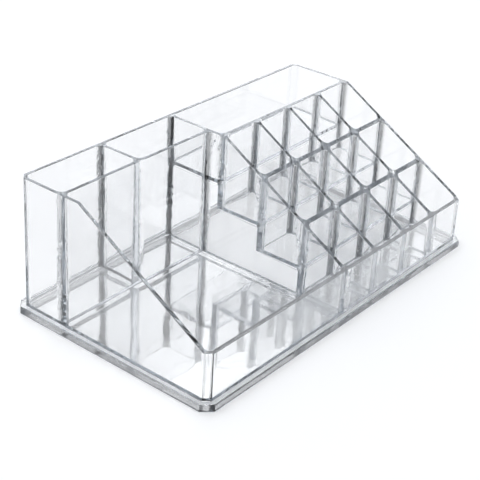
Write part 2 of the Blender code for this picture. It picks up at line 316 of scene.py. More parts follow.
@dataclass
class Ring:
    """A closed outline seen from above, with the way that each of its points takes when the outline grows."""

    points: np.ndarray
    outward: np.ndarray

    @classmethod
    def rounded(cls, sides: tuple[float, float, float, float], radius: float, steps: int) -> "Ring":
        """A rectangle with round corners, counter-clockwise.

        At each corner, point = corner centre + radius * (cos a, sin a), with a over a quarter turn.

        Args:
            sides: Low x, high x, low y and high y.
            radius: Radius of the corners.
            steps: Facets in each corner.

        Returns:
            The ring.
        """
        x_low, x_high, y_low, y_high = sides
        centres = np.array([
            (x_high - radius, y_low + radius),
            (x_high - radius, y_high - radius),
            (x_low + radius, y_high - radius),
            (x_low + radius, y_low + radius),
        ])
        quarter = np.pi / 2
        angles = (np.arange(4) - 1)[:, None] * quarter + np.linspace(0.0, quarter, steps + 1)[None, :]
        outward = unit(angles)
        points = centres[:, None, :] + radius * outward
        return cls(points.reshape(-1, 2), outward.reshape(-1, 2))

    @classmethod
    def cut(cls, sides: tuple[float, float, float, float], leg: float, radius: float, steps: int) -> "Ring":
        """A rectangle with its corners cut off at 45 degrees, counter-clockwise.

        Each cut has a small arc at either end: point = arc centre + radius * (cos a, sin a), with a over an
        eighth turn. All of an arc moves along the mitre of the two sides that it joins, so it stays crisp.

        Args:
            sides: Low x, high x, low y and high y.
            leg: How far each cut takes off either side.
            radius: Radius of the arcs.
            steps: Facets in each arc.

        Returns:
            The ring.
        """
        x_low, x_high, y_low, y_high = sides
        corners = np.array([(x_high, y_low), (x_high, y_high), (x_low, y_high), (x_low, y_low)])
        eighth = np.pi / 4
        starts = np.arange(-2, 6).reshape(4, 2) * eighth
        before = unit(starts[:, 0])
        after = np.stack((-before[:, 1], before[:, 0]), axis=-1)
        reach = leg + radius * math.tan(eighth / 2)
        centres = np.stack((
            corners - reach * after - radius * before,
            corners - reach * before - radius * after,
        ), axis=1)
        arcs = unit(starts[:, :, None] + np.linspace(0.0, eighth, steps + 1))
        mitres = unit(starts + eighth / 2) / math.cos(eighth / 2)
        points = centres[:, :, None, :] + radius * arcs
        outward = np.broadcast_to(mitres[:, :, None, :], points.shape)
        return cls(points.reshape(-1, 2), outward.reshape(-1, 2).copy())

    def marked(self, depths: Iterable[float]) -> "Ring":
        """The ring with a further point wherever its outline crosses one of the given depths."""
        points, outward = self.points, self.outward
        for depth in depths:
            after = np.roll(points, -1, axis=0)
            crossing = np.flatnonzero((points[:, 1] - depth) * (after[:, 1] - depth) < 0)
            share = (depth - points[crossing, 1]) / (after[crossing, 1] - points[crossing, 1])
            new_points = points[crossing] + share[:, None] * (after[crossing] - points[crossing])
            turned = np.roll(outward, -1, axis=0)[crossing]
            new_outward = outward[crossing] + share[:, None] * (turned - outward[crossing])
            points = np.insert(points, crossing + 1, new_points, axis=0)
            outward = np.insert(outward, crossing + 1, new_outward, axis=0)
        return Ring(points, outward)

    def grown(self, by: np.ndarray | float) -> np.ndarray:
        """The outline moved outwards, point by point: point + by * outward."""
        return self.points + np.broadcast_to(by, len(self.points))[:, None] * self.outward


@dataclass
class Skin:
    """A closed surface as vertices and faces, before it becomes a mesh."""

    vertices: list[np.ndarray] = field(default_factory=list)
    faces: list[tuple[int, ...]] = field(default_factory=list)

    def add_points(self, grid: np.ndarray) -> np.ndarray:
        """Adds the points of a grid and returns their numbers, laid out like the grid."""
        start = sum(len(part) for part in self.vertices)
        self.vertices.append(grid.reshape(-1, 3))
        return start + np.arange(grid[..., 0].size).reshape(grid.shape[:2])

    def add_bands(self, here: np.ndarray, there: np.ndarray) -> None:
        """Adds the faces between rows of points and their next rows. Each row closes on itself."""
        quads = np.stack((here, np.roll(here, -1, 1), np.roll(there, -1, 1), there), axis=-1)
        self.faces.extend(map(tuple, quads.reshape(-1, 4).tolist()))

    def add_tube(self, rings: np.ndarray, bent_roof: bool = False) -> None:
        """Adds a closed tube through a grid of rings, with a cap on each end.

        Args:
            rings: Points as levels x ring points x 3, from the bottom up, each ring counter-clockwise.
            bent_roof: Whether the upper cap is made of strips of equal depth. Its ring then starts at the
                front right and is alike on the left and the right.
        """
        index = self.add_points(rings)
        self.add_bands(index[:-1], index[1:])
        self.faces.append(tuple(index[0][::-1].tolist()))
        if bent_roof:
            half = len(index[-1]) // 2
            right = index[-1][:half]
            left = index[-1][::-1][:half]
            strips = np.stack((right[:-1], right[1:], left[1:], left[:-1]), axis=-1)
            self.faces.extend(map(tuple, strips.tolist()))
        else:
            self.faces.append(tuple(index[-1].tolist()))

    def add_ring_solid(self, loops: np.ndarray) -> None:
        """Adds a solid ring: a grid that closes both ways, as profile points x turns x 3.

        The profile goes counter-clockwise round its section.
        """
        index = self.add_points(loops)
        self.add_bands(index, np.roll(index, -1, 0))

    def to_object(self, name: str, material: bpy.types.Material) -> bpy.types.Object:
        """Makes the mesh, all of one material, and its object, which it puts into the scene and returns."""
        mesh = bpy.data.meshes.new(name)
        mesh.from_pydata(np.concatenate(self.vertices).tolist(), [], self.faces)
        mesh.materials.append(material)
        mesh.validate()
        shape = bmesh.new()
        shape.from_mesh(mesh)
        bmesh.ops.recalc_face_normals(shape, faces=shape.faces)
        shape.to_mesh(mesh)
        shape.free()
        return link(bpy.data.objects.new(name, mesh))


def link(obj: bpy.types.Object) -> bpy.types.Object:
    """Puts an object into the scene and returns it."""
    bpy.context.scene.collection.objects.link(obj)
    return obj


def with_height(points: np.ndarray, height: np.ndarray | float) -> np.ndarray:
    """Adds a height, one for all or one for each, to points as n x 2, which makes them n x 3."""
    return np.column_stack((points, np.broadcast_to(height, len(points))))


def round_steps(radius: float, steps: int, end: float = math.pi / 2) -> list[tuple[float, float]]:
    """Points of a round: radius * (1 - cos a) and radius * (1 - sin a), with a from 0 to its end.

    Args:
        radius: Radius of the round.
        steps: Facets in it.
        end: Angle at which it stops.

    Returns:
        Pairs of lengths. The first grows from 0 and the second shrinks from the radius.
    """
    angles = np.linspace(0.0, end, steps + 1)
    return [(radius * (1 - math.cos(angle)), radius * (1 - math.sin(angle))) for angle in angles]


def under_top(sizes: Sizes, ring: Ring, drop: float, growth: Growth) -> np.ndarray:
    """A ring at the walls' top, or a little under it, that follows the slope.

    Args:
        sizes: The moulding's sizes.
        ring: The outline.
        drop: How far the ring lies under the top.
        growth: Gives how far the outline has grown at a height.

    Returns:
        Points as n x 3.
    """
    points = ring.points
    for _ in range(SLOPE_PASSES):
        height = sizes.top_height(points[:, 1]) - drop
        points = ring.grown(growth(height))
    return with_height(points, height)


def carve(target: bpy.types.Object, tool: bpy.types.Object, how: Carve) -> None:
    """Shapes a solid by another at once, and keeps each face's material.

    Args:
        target: The solid that changes.
        tool: The solid that shapes it.
        how: Whether the two are joined, the tool is cut away, or only what both share is kept.
    """
    modifier = target.modifiers.new(how.name, "BOOLEAN")
    modifier.operation = how.value
    modifier.solver = "EXACT"
    modifier.object = tool
    modifier.material_mode = "TRANSFER"
    graph = bpy.context.evaluated_depsgraph_get()
    shaped = bpy.data.meshes.new_from_object(target.evaluated_get(graph), depsgraph=graph)
    target.modifiers.remove(modifier)
    before = target.data
    target.data = shaped
    bpy.data.meshes.remove(before)


def discard(objects: Iterable[bpy.types.Object]) -> None:
    """Deletes objects and their meshes."""
    for obj in objects:
        mesh = obj.data
        bpy.data.objects.remove(obj)
        bpy.data.meshes.remove(mesh)


@dataclass
class PocketCores:
    """The tapered cores whose prints are the compartments."""

    sizes: Sizes
    corner_steps: int = 10
    fillet_steps: int = 6
    mouth_steps: int = 4
    mouth_end: float = math.radians(80)

    def core(self, skin: Skin, sides: tuple[float, float, float, float], floor: float) -> None:
        """Adds one core.

        Each ring is the pocket's outline at the top of the high walls, moved inwards by the draft:
        inset = slope * (overall height - z). At the floor a quarter round draws it in further. At the mouth
        it flares out round the top of the walls: outset = r * (1 - cos a), z = top - r * (1 - sin a).

        Args:
            skin: Where the core's surface goes.
            sides: Low x, high x, low y and high y at the top of the high walls.
            floor: Height of the pocket's floor.
        """
        s = self.sizes
        ring = Ring.rounded(sides, s.pocket_corner_radius, self.corner_steps)
        ring = ring.marked((s.slope_foot_y, s.slope_top_y))
        levels = []
        for rise, inwards in round_steps(s.floor_round, self.fillet_steps):
            inset = s.core_slope * (s.overall_height - (floor + rise)) + inwards
            levels.append(with_height(ring.grown(-inset), floor + rise))
        for outset, drop in round_steps(s.wall_top_round, self.mouth_steps, self.mouth_end):
            levels.append(under_top(s, ring, drop, lambda z: outset - s.core_slope * (s.overall_height - z)))
        levels.append(with_height(levels[-1][:, :2], s.overall_height + s.overrun))
        skin.add_tube(np.array(levels))

    def build(self, material: bpy.types.Material) -> bpy.types.Object:
        """Makes all the cores as one object: two bins, the bay, the tray and the cells."""
        s = self.sizes
        half = s.wall_thickness / 2
        skin = Skin()
        back = -s.inner_front
        bay_right = s.centre_wall_x - half
        stairs_left = s.centre_wall_x + half
        for x_low, x_high in ((s.inner_left, s.rear_divider_x - half), (s.rear_divider_x + half, bay_right)):
            self.core(skin, (x_low, x_high, s.bay_rear_wall_y + half, back), s.levels[0])
        self.core(skin, (s.inner_left, bay_right, s.inner_front, s.bay_rear_wall_y - half), s.levels[0])
        self.core(skin, (stairs_left, -s.inner_left, s.tier_rear_wall_y + half, back), s.levels[3])
        for column in range(s.columns):
            x_low = stairs_left + column * s.column_pitch
            for row in range(s.rows):
                y_high = s.cells_back - row * s.row_pitch
                sides = (x_low, x_low + s.cell_width, y_high - s.cell_depth, y_high)
                self.core(skin, sides, s.levels[2 - row])
        return skin.to_object("pocket_cores", material)


@dataclass
class OuterForm:
    """The moulding from outside: flange, drafted walls and the sloped top."""

    sizes: Sizes
    corner_steps: int = 3
    edge_steps: int = 4

    def build(self, material: bpy.types.Material) -> bpy.types.Object:
        """Makes the form as one closed surface through rings.

        The rings follow the profile from the underside up: a small round, the flange's side, a larger round,
        the flange's top, a hollow fillet, the drafted wall and the round of the wall's top, which follows the
        slope. Each ring is the wall's outline at its foot moved outwards by the profile's growth.
        """
        s = self.sizes
        sides = (-s.body_half_length, s.body_half_length, -s.body_half_depth, s.body_half_depth)
        ring = Ring.cut(sides, s.corner_cut, s.corner_cut_round, self.corner_steps)
        ring = ring.marked((s.slope_foot_y, s.slope_top_y))
        levels = [with_height(ring.grown(growth), height) for growth, height in self.flange_profile()]
        for inset, drop in round_steps(s.wall_top_round, self.edge_steps):
            levels.append(under_top(s, ring, drop, lambda z: -s.outer_slope * (z - s.flange_height) - inset))
        skin = Skin()
        skin.add_tube(np.array(levels), bent_roof=True)
        return skin.to_object("outer_form", material)

    def flange_profile(self) -> list[tuple[float, float]]:
        """The profile of the flange from below, as pairs of growth over the wall's foot and height.

        Three quarter rounds: the lower and the upper edge of the flange's side, and the foot of the wall.
        """
        s = self.sizes
        edge, reach, top = s.flange_edge_round, s.flange_overhang, s.flange_height
        lower = [(reach - inwards, rise) for rise, inwards in round_steps(edge / 2, self.edge_steps)]
        upper = [(reach - inwards, top - drop) for inwards, drop in round_steps(edge, self.edge_steps)]
        foot = [(growth, top + rise) for rise, growth in round_steps(s.flange_foot_round, self.edge_steps)]
        return lower + upper + foot


@dataclass
class Underside:
    """What is cut away from below: the hollow under the stairs, the recesses and a plain round mark."""

    sizes: Sizes
    corner_steps: int = 8
    edge_steps: int = 4
    mark_turns: int = 48

    def hollow(self, material: bpy.types.Material) -> bpy.types.Object:
        """The stepped hollow under the treads and the tray, open below, with its inner edges rounded."""
        s = self.sizes
        start, first, second, end = s.hollow_ends
        lids = [level - s.tread_thickness for level in s.levels[1:]]
        outline = (
            (start, -s.overrun),
            (start, lids[0]),
            (first, lids[0]),
            (first, lids[1]),
            (second, lids[1]),
            (second, lids[2]),
            (end, lids[2]),
            (end, -s.overrun),
        )
        hollow = prism("stair_hollow", Region(outline, s.hollow_left, s.hollow_right, Along.X), material)
        shape = bmesh.new()
        shape.from_mesh(hollow.data)
        lid_edges = [e for e in shape.edges if min(v.co.z for v in e.verts) > lids[0] - s.overrun]
        inner = [e for e in lid_edges if abs(e.verts[0].co.z - e.verts[1].co.z) < s.joint_gap]
        bmesh.ops.bevel(
            shape, geom=inner, offset=s.hollow_edge_round, segments=self.edge_steps, affect="EDGES"
        )
        shape.to_mesh(hollow.data)
        shape.free()
        return hollow

    def recess(self, skin: Skin, sides: tuple[float, float, float, float]) -> None:
        """Adds the core of one shallow recess between the given sides, with a round along its inner edge."""
        s = self.sizes
        depth = s.flange_height - s.floor_skin
        edge = s.flange_edge_round / 2
        ring = Ring.rounded(sides, s.pocket_corner_radius, self.corner_steps)
        levels = [with_height(ring.points, -s.overrun)]
        for inwards, drop in round_steps(edge, self.edge_steps):
            levels.append(with_height(ring.grown(-inwards), depth - drop))
        skin.add_tube(np.array(levels))

    def recesses(self, material: bpy.types.Material) -> bpy.types.Object:
        """The two recesses: under the bay and the bins, and under the front cells."""
        s = self.sizes
        inner_x, inner_y = s.half_length - s.rim_width, s.half_depth - s.rim_width
        stair_left = s.hollow_left - s.inner_wall_foot
        stair_front = s.hollow_ends[0] - s.inner_wall_foot
        skin = Skin()
        self.recess(skin, (-inner_x, stair_left, -inner_y, inner_y))
        self.recess(skin, (stair_left + s.rim_width, inner_x, -inner_y, stair_front))
        return skin.to_object("recess_cores", material)

    def mark(self, material: bpy.types.Material) -> bpy.types.Object:
        """A plain shallow ring in the underside of the bay floor.

        The section is a rectangle turned about an upright axis: point = centre + radius * (cos t, sin t).
        """
        s = self.sizes
        roof = s.flange_height - s.floor_skin + s.mark_depth
        inner, outer = s.mark_radius - s.mark_ring_width, s.mark_radius
        section = np.array(((inner, -s.overrun), (outer, -s.overrun), (outer, roof), (inner, roof)))
        turns = np.linspace(0.0, math.tau, self.mark_turns, endpoint=False)
        x = s.centre_wall_x - s.mark_from_centre_wall + section[:, :1] * np.cos(turns)
        y = section[:, :1] * np.sin(turns)
        z = np.broadcast_to(section[:, 1:], x.shape)
        skin = Skin()
        skin.add_ring_solid(np.stack((x, y, z), axis=-1))
        return skin.to_object("mark_core", material)


def prism(name: str, region: Region, material: bpy.types.Material) -> bpy.types.Object:
    """Extrudes a region's outline along its axis and returns the object, all of one material."""
    outline = np.array(region.outline)
    ends = [np.insert(outline, region.along.value, end, axis=1) for end in (region.low, region.high)]
    skin = Skin()
    skin.add_tube(np.array(ends))
    return skin.to_object(name, material)


def box_outline(a_low: float, a_high: float, b_low: float, b_high: float) -> Outline:
    """A rectangle as an outline."""
    return ((a_low, b_low), (a_high, b_low), (a_high, b_high), (a_low, b_high))


@dataclass
class Moulding:
    """The whole clear moulding, and the parting of it into panels.

    The turns are limits for the upright part of a face's normal: a face is upright below upright_turn, a
    fillet between round_turn and slope_turn, and level above level_turn. The painted shades say how dark a
    face's colour is painted as shade, from 0 to 1. Faces nearer to an outer corner than corner_zone aren't
    part of a column. A face belongs to the round at a level when it is within radii_near radii of it. No
    division is by less than least_square, and face_weight says how far the large faces' normals prevail at
    the rounds' edges.
    """

    sizes: Sizes
    joint: bpy.types.Material
    whole: bpy.types.Object | None = None
    crisp_angle: float = math.radians(40)
    round_turn: float = 0.15
    upright_turn: float = 0.5
    slope_turn: float = 0.8
    level_turn: float = 0.99
    corner_zone: float = 0.012
    # Painted shade on the flange's side and on the front wall's flat top, from 0 to 1
    flange_painted_shade: float = 0.9
    front_top_painted_shade: float = 1.0
    radii_near: float = 2.0
    least_square: float = 1e-6
    face_weight: int = 100

    def cast(self, plastic: bpy.types.Material) -> None:
        """Makes the unbroken moulding: the outer form less the cores, the hollow and the recesses.

        Args:
            plastic: The material on all its faces.
        """
        under = Underside(self.sizes)
        self.whole = OuterForm(self.sizes).build(plastic)
        self.whole.name = "moulding"
        tools = [
            PocketCores(self.sizes).build(plastic),
            under.hollow(plastic),
            under.recesses(plastic),
            under.mark(plastic),
        ]
        for tool in tools:
            carve(self.whole, tool, Carve.CUT)
        discard(tools)

    def part(self, name: str, regions: Sequence[Region], plastic: bpy.types.Material) -> None:
        """Takes one panel out of the moulding and dresses it for its node.

        Args:
            name: The frame's node that the panel stands for.
            regions: The prisms that the panel fills together, or that are cut away from the ones before.
            plastic: The panel's material.
        """
        place = prism(name + "_region", regions[0], self.joint)
        for region in regions[1:]:
            more = prism(name + "_more", region, self.joint)
            carve(place, more, region.how)
            discard([more])
        panel = link(bpy.data.objects.new(name + "_panel", self.whole.data.copy()))
        carve(panel, place, Carve.KEEP)
        discard([place])
        self.finish(panel, plastic)
        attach(panel, BODY)
        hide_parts(name)
        LOG.info("%s stands for %s, %d faces", panel.name, name, len(panel.data.polygons))

    def finish(self, panel: bpy.types.Object, plastic: bpy.types.Material) -> None:
        """Marks a panel's faces, gives it its plastic and shades its rounds smooth."""
        mesh = panel.data
        self.mark_faces(mesh)
        mesh.polygons.foreach_set("material_index", np.zeros(len(mesh.polygons), dtype=np.int32))
        mesh.materials.clear()
        mesh.materials.append(plastic)
        mesh.shade_smooth()
        mesh.set_sharp_from_angle(angle=self.crisp_angle)
        even = panel.modifiers.new("Flat faces", "WEIGHTED_NORMAL")
        even.keep_sharp = True
        even.weight = self.face_weight

    def mark_faces(self, mesh: bpy.types.Mesh) -> None:
        """Marks the faces in the joints, the rounds and the faces that get painted shade.

        A column's mark = (2 * nx * ny / (nx^2 + ny^2))^2 from the face's normal, so it is 1 in the middle of
        an upright round and 0 where the round meets its walls. Of a column's rounds only the one that faces
        the left front has its mark painted into its colour as shade, so each column is half dark and half
        clear. The flange's side and the front wall's flat top get painted shade too.

        Args:
            mesh: The panel's mesh, with the joint material on the faces in its joints.
        """
        s = self.sizes
        index = np.empty(len(mesh.polygons), dtype=np.int32)
        mesh.polygons.foreach_get("material_index", index)
        joint = np.isin(index, [i for i, slot in enumerate(mesh.materials) if slot == self.joint])
        normals = np.empty((len(index), 3), dtype=np.float32)
        centres = np.empty((len(index), 3), dtype=np.float32)
        mesh.polygons.foreach_get("normal", normals.ravel())
        mesh.polygons.foreach_get("center", centres.ravel())
        x, y, up = np.abs(normals).T
        left_front = (normals[:, :2] < 0.0).all(axis=1)
        middle = (2 * x * y / np.maximum(x * x + y * y, self.least_square)) ** 2
        far = np.abs(centres[:, :2]) > (s.half_length - self.corner_zone, s.half_depth - self.corner_zone)
        upright = (up < self.upright_turn) & ~far.all(axis=1) & ~joint
        # Painted shade: the left-front round of each column, darkest in its middle
        shades = np.where(upright & left_front, middle, 0.0)
        beyond = (np.abs(centres[:, :2]) > (s.body_half_length, s.body_half_depth)).any(axis=1)
        flange_side = beyond & (up < self.upright_turn) & (centres[:, 2] < s.flange_height)
        # Painted shade on the flange's side
        shades[flange_side] = self.flange_painted_shade
        front = centres[:, 1] < -s.body_half_depth + s.outer_wall_foot + s.wall_top_round
        high = centres[:, 2] > s.front_wall_height - self.radii_near * s.wall_top_round
        # Painted shade on the front wall's flat top
        shades[front & high & (normals[:, 2] > self.level_turn)] = self.front_top_painted_shade
        low = (np.abs(centres[:, 2:] - s.levels) < self.radii_near * s.floor_round).any(axis=1)
        fillets = (up > self.round_turn) & (up < self.slope_turn) & low
        rounds = (upright & (middle > self.round_turn)) | fillets
        for name, values in ((JOINT_MASK, joint), (ROUND_MASK, rounds), (PAINTED_SHADE_MASK, shades)):
            mask = mesh.attributes.new(name, "FLOAT", "FACE")
            mask.data.foreach_set("value", values.astype(np.float32))


@dataclass
class Panels:
    """Where each panel ends: the regions of all nodes, by node name, with a hairline joint between them."""

    sizes: Sizes

    def __post_init__(self) -> None:
        """Works out the planes that several panels share."""
        s = self.sizes
        self.gap = s.joint_gap / 2
        self.above = s.overall_height + s.overrun
        self.beyond_x = s.half_length + s.overrun
        self.beyond_y = s.half_depth + s.overrun
        self.feet = [level + s.kerb for level in s.levels]
        self.left = -s.body_half_length + s.outer_reach
        self.front = -s.body_half_depth + s.outer_reach
        self.seam_left = s.hollow_left + s.hollow_seam
        self.seam_right = s.hollow_right - s.hollow_seam
        ends = [end + s.hollow_seam for end in s.hollow_ends[:3]]
        self.seam_ends = (*ends, s.hollow_ends[3] - s.hollow_seam)

    def wall_on_stairs(self, y_low: float, y_high: float) -> Outline:
        """Side outline, in y and z, of a wall that stands on the stairs between two depths."""
        feet = [foot + self.gap for foot in self.feet]
        points = [(y_low, self.above), (y_low, feet[0])]
        for end, foot, next_foot in zip(self.seam_ends, feet, feet[1:]):
            points += [(end - self.gap, foot), (end - self.gap, next_foot)]
        points += [(y_high, feet[3]), (y_high, self.above)]
        return points[::-1]

    def base(self) -> dict[str, list[Region]]:
        """The base plate with its flange and the feet of the walls on it."""
        low = -self.sizes.overrun
        outline = box_outline(-self.beyond_x, self.beyond_x, -self.beyond_y, self.beyond_y)
        return {"base_plate": [Region(outline, low, self.feet[0] - self.gap, Along.Z)]}

    def outer_walls(self) -> dict[str, list[Region]]:
        """The left, right, front and back walls."""
        s, gap = self.sizes, self.gap
        foot, tray_foot = self.feet[0] + gap, self.feet[3]
        whole = box_outline(-self.beyond_y, self.beyond_y, foot, self.above)
        across = box_outline(self.left + gap, -self.left - gap, foot, self.above)
        with_columns = (
            (self.left + gap, foot),
            (self.seam_left - gap, foot),
            (self.seam_left - gap, tray_foot + gap),
            (-self.left - gap, tray_foot + gap),
            (-self.left - gap, self.above),
            (self.left + gap, self.above),
        )
        behind_stairs = (
            (s.centre_wall_x, foot),
            (self.seam_right - gap, foot),
            (self.seam_right - gap, tray_foot - gap),
            (-self.left - gap, tray_foot - gap),
            (-self.left - gap, self.above),
            (s.centre_wall_x, self.above),
        )
        hollow_back = self.seam_ends[3]
        stepped = self.wall_on_stairs(-self.beyond_y, self.beyond_y)
        return {
            "left_wall": [Region(whole, -self.beyond_x, self.left - gap, Along.X)],
            "right_wall": [
                Region(whole, self.seam_right + gap, self.beyond_x, Along.X),
                Region(stepped, -self.left + gap, self.beyond_x, Along.X),
            ],
            "front_wall": [Region(across, -self.beyond_y, self.front - gap, Along.Y)],
            "back_wall": [
                Region(with_columns, -self.front + gap, self.beyond_y, Along.Y),
                Region(behind_stairs, hollow_back + gap, self.beyond_y, Along.Y),
            ],
        }

    def inner_walls(self) -> dict[str, list[Region]]:
        """The walls of the bins and the bay, and the wall that carries the left of the stairs."""
        s, gap = self.sizes, self.gap
        foot = self.feet[0] + gap
        reach = s.column_reach
        back = -self.front - gap
        centre_left = s.centre_wall_x - reach
        bay_low, bay_high = s.bay_rear_wall_y - reach, s.bay_rear_wall_y + reach
        bay = box_outline(self.left + gap, centre_left - gap, foot, self.above)
        divider = box_outline(bay_high + gap, back, foot, self.above)
        centre = box_outline(self.front + gap, back, foot, self.above)
        on_stairs = self.wall_on_stairs(self.front + gap, back)
        centre_right = s.centre_wall_x + reach - gap
        return {
            "bay_rear_wall": [Region(bay, bay_low + gap, bay_high - gap, Along.Y)],
            "rear_divider": [
                Region(divider, s.rear_divider_x - reach + gap, s.rear_divider_x + reach - gap, Along.X)
            ],
            "centre_wall": [
                Region(centre, centre_left + gap, self.seam_left - gap, Along.X),
                Region(on_stairs, centre_left + gap, centre_right, Along.X),
            ],
        }

    def lap(self, y: float, foot: float) -> float:
        """Height of the halving joint where two walls cross: halfway between their foot and their top."""
        return (foot + float(self.sizes.top_height(y))) / 2

    def cross_walls(self) -> dict[str, list[Region]]:
        """The wall behind the cells and the walls between their rows, slotted from above for the dividers."""
        s, gap = self.sizes, self.gap
        reach = s.column_reach
        left, right = s.centre_wall_x + reach + gap, -self.left - gap
        rear, front = s.cross_wall_ys
        walls = {}
        for name, middle, step in (
            ("tier_rear_wall", s.tier_rear_wall_y, 2),
            ("cross_wall_rear", rear, 1),
            ("cross_wall_front", front, 0),
        ):
            hollow_face = self.seam_ends[step] - gap
            outline = (
                (middle - reach + gap, self.feet[step] + gap),
                (hollow_face, self.feet[step] + gap),
                (hollow_face, self.feet[step + 1] + gap),
                (middle + reach - gap, self.feet[step + 1] + gap),
                (middle + reach - gap, self.above),
                (middle - reach + gap, self.above),
            )
            walls[name] = [Region(outline, left, right, Along.X)]
            if middle in s.cross_wall_ys:
                bottom = self.lap(middle, self.feet[step + 1]) - gap
                wide = box_outline(middle - 2 * reach, middle + 2 * reach, bottom, self.above + s.overrun)
                for x in s.divider_xs:
                    walls[name].append(Region(wide, x - reach - gap, x + reach + gap, Along.X, Carve.CUT))
        return walls

    def dividers(self) -> dict[str, list[Region]]:
        """The sloped walls between the columns of cells, slotted from below over the cross walls."""
        s, gap = self.sizes, self.gap
        reach = s.column_reach + gap
        rear, front = s.cross_wall_ys
        lap_front = self.lap(front, self.feet[1]) + gap
        lap_rear = self.lap(rear, self.feet[2]) + gap
        feet = [foot + gap for foot in self.feet]
        outline = (
            (self.front + gap, self.above),
            (self.front + gap, feet[0]),
            (front - reach, feet[0]),
            (front - reach, lap_front),
            (front + reach, lap_front),
            (front + reach, feet[1]),
            (rear - reach, feet[1]),
            (rear - reach, lap_rear),
            (rear + reach, lap_rear),
            (rear + reach, feet[2]),
            (s.tier_rear_wall_y - reach, feet[2]),
            (s.tier_rear_wall_y - reach, self.above),
        )
        half = s.column_reach - gap
        return {
            f"cell_divider_{i + 1}": [Region(outline, x - half, x + half, Along.X)]
            for i, x in enumerate(s.divider_xs)
        }

    def treads(self) -> dict[str, list[Region]]:
        """The floors of the two raised rows of cells and of the tray, with the feet of the walls on them."""
        s, gap = self.sizes, self.gap
        names = ("middle_tread", "rear_tread", "tray_floor")
        left, right = self.seam_left + gap, self.seam_right - gap
        floors = {}
        for name, y_low, y_high, level in zip(names, self.seam_ends, self.seam_ends[1:], s.levels[1:]):
            bottom = level - s.tread_thickness - s.kerb
            outline = box_outline(y_low + gap, y_high - gap, bottom, level + s.kerb - gap)
            floors[name] = [Region(outline, left, right, Along.X)]
        return floors


def feed(tree: bpy.types.NodeTree, node: bpy.types.Node, inputs: dict[str | int, Source]) -> None:
    """Gives a node's inputs, by their names or numbers, a link or a value.

    Args:
        tree: Where the node is.
        node: The node.
        inputs: Another node's output, or a value, for each input.
    """
    for socket, source in inputs.items():
        if isinstance(source, bpy.types.NodeSocket):
            tree.links.new(source, node.inputs[socket])
        else:
            node.inputs[socket].default_value = source


def add_node(tree: bpy.types.NodeTree, kind: str, inputs: dict[str | int, Source]) -> bpy.types.Node:
    """Adds a shader node.

    Args:
        tree: Where the node goes.
        kind: Its type, less the word ShaderNode.
        inputs: What its inputs get, as in feed.

    Returns:
        The node.
    """
    node = tree.nodes.new("ShaderNode" + kind)
    feed(tree, node, inputs)
    return node


def combined(tree: bpy.types.NodeTree, operation: str, *values: Source) -> bpy.types.NodeSocket:
    """Adds a math node that takes the values and returns its output."""
    node = add_node(tree, "Math", dict(enumerate(values)))
    node.operation = operation
    return node.outputs[0]


@dataclass(frozen=True)
class MouldWaviness:
    """Shader group: the swell, the ripple and the haze of a moulded face, and the chatter of its rounds."""

    name: str = "mould_waviness"
    swell_scale: float = 42.0
    swell_detail: float = 1.0
    ripple_scale: float = 170.0
    haze_scale: float = 60.0
    chatter_scale: float = 260.0
    patch_scale: float = 60.0
    patch_range: tuple[float, float] = (0.46, 0.60)
    detail: float = 2.0

    def build(self) -> bpy.types.NodeTree:
        """Makes the group.

        Height = swell * noise + ripple * finer noise + chatter * rounds * patches * finest noise, and
        Roughness = haze * noise.
        """
        group = bpy.data.node_groups.new(self.name, "ShaderNodeTree")
        face = group.interface
        face.new_socket("Vector", in_out="INPUT", socket_type="NodeSocketVector")
        for socket in ("Swell", "Ripple", "Haze", "Chatter", "Rounds"):
            face.new_socket(socket, in_out="INPUT", socket_type="NodeSocketFloat")
        for socket in ("Height", "Roughness"):
            face.new_socket(socket, in_out="OUTPUT", socket_type="NodeSocketFloat")
        given = group.nodes.new("NodeGroupInput").outputs

        def noise(scale: float, detail: float = self.detail) -> bpy.types.NodeSocket:
            """A noise texture, with about as many waves for each metre as its scale says."""
            inputs = {"Vector": given["Vector"], "Scale": scale, "Detail": detail}
            return add_node(group, "TexNoise", inputs).outputs["Fac"]

        start, end = self.patch_range
        patches = {"Value": noise(self.patch_scale), "From Min": start, "From Max": end}
        strength = add_node(group, "MapRange", patches).outputs["Result"]
        chatter = noise(self.chatter_scale)
        for factor in (strength, given["Rounds"], given["Chatter"]):
            chatter = combined(group, "MULTIPLY", chatter, factor)
        swell = combined(group, "MULTIPLY", noise(self.swell_scale, self.swell_detail), given["Swell"])
        ripple = combined(group, "MULTIPLY", noise(self.ripple_scale), given["Ripple"])
        height = combined(group, "ADD", combined(group, "ADD", swell, ripple), chatter)
        roughness = combined(group, "MULTIPLY", noise(self.haze_scale), given["Haze"])
        feed(group, group.nodes.new("NodeGroupOutput"), {"Height": height, "Roughness": roughness})
        return group


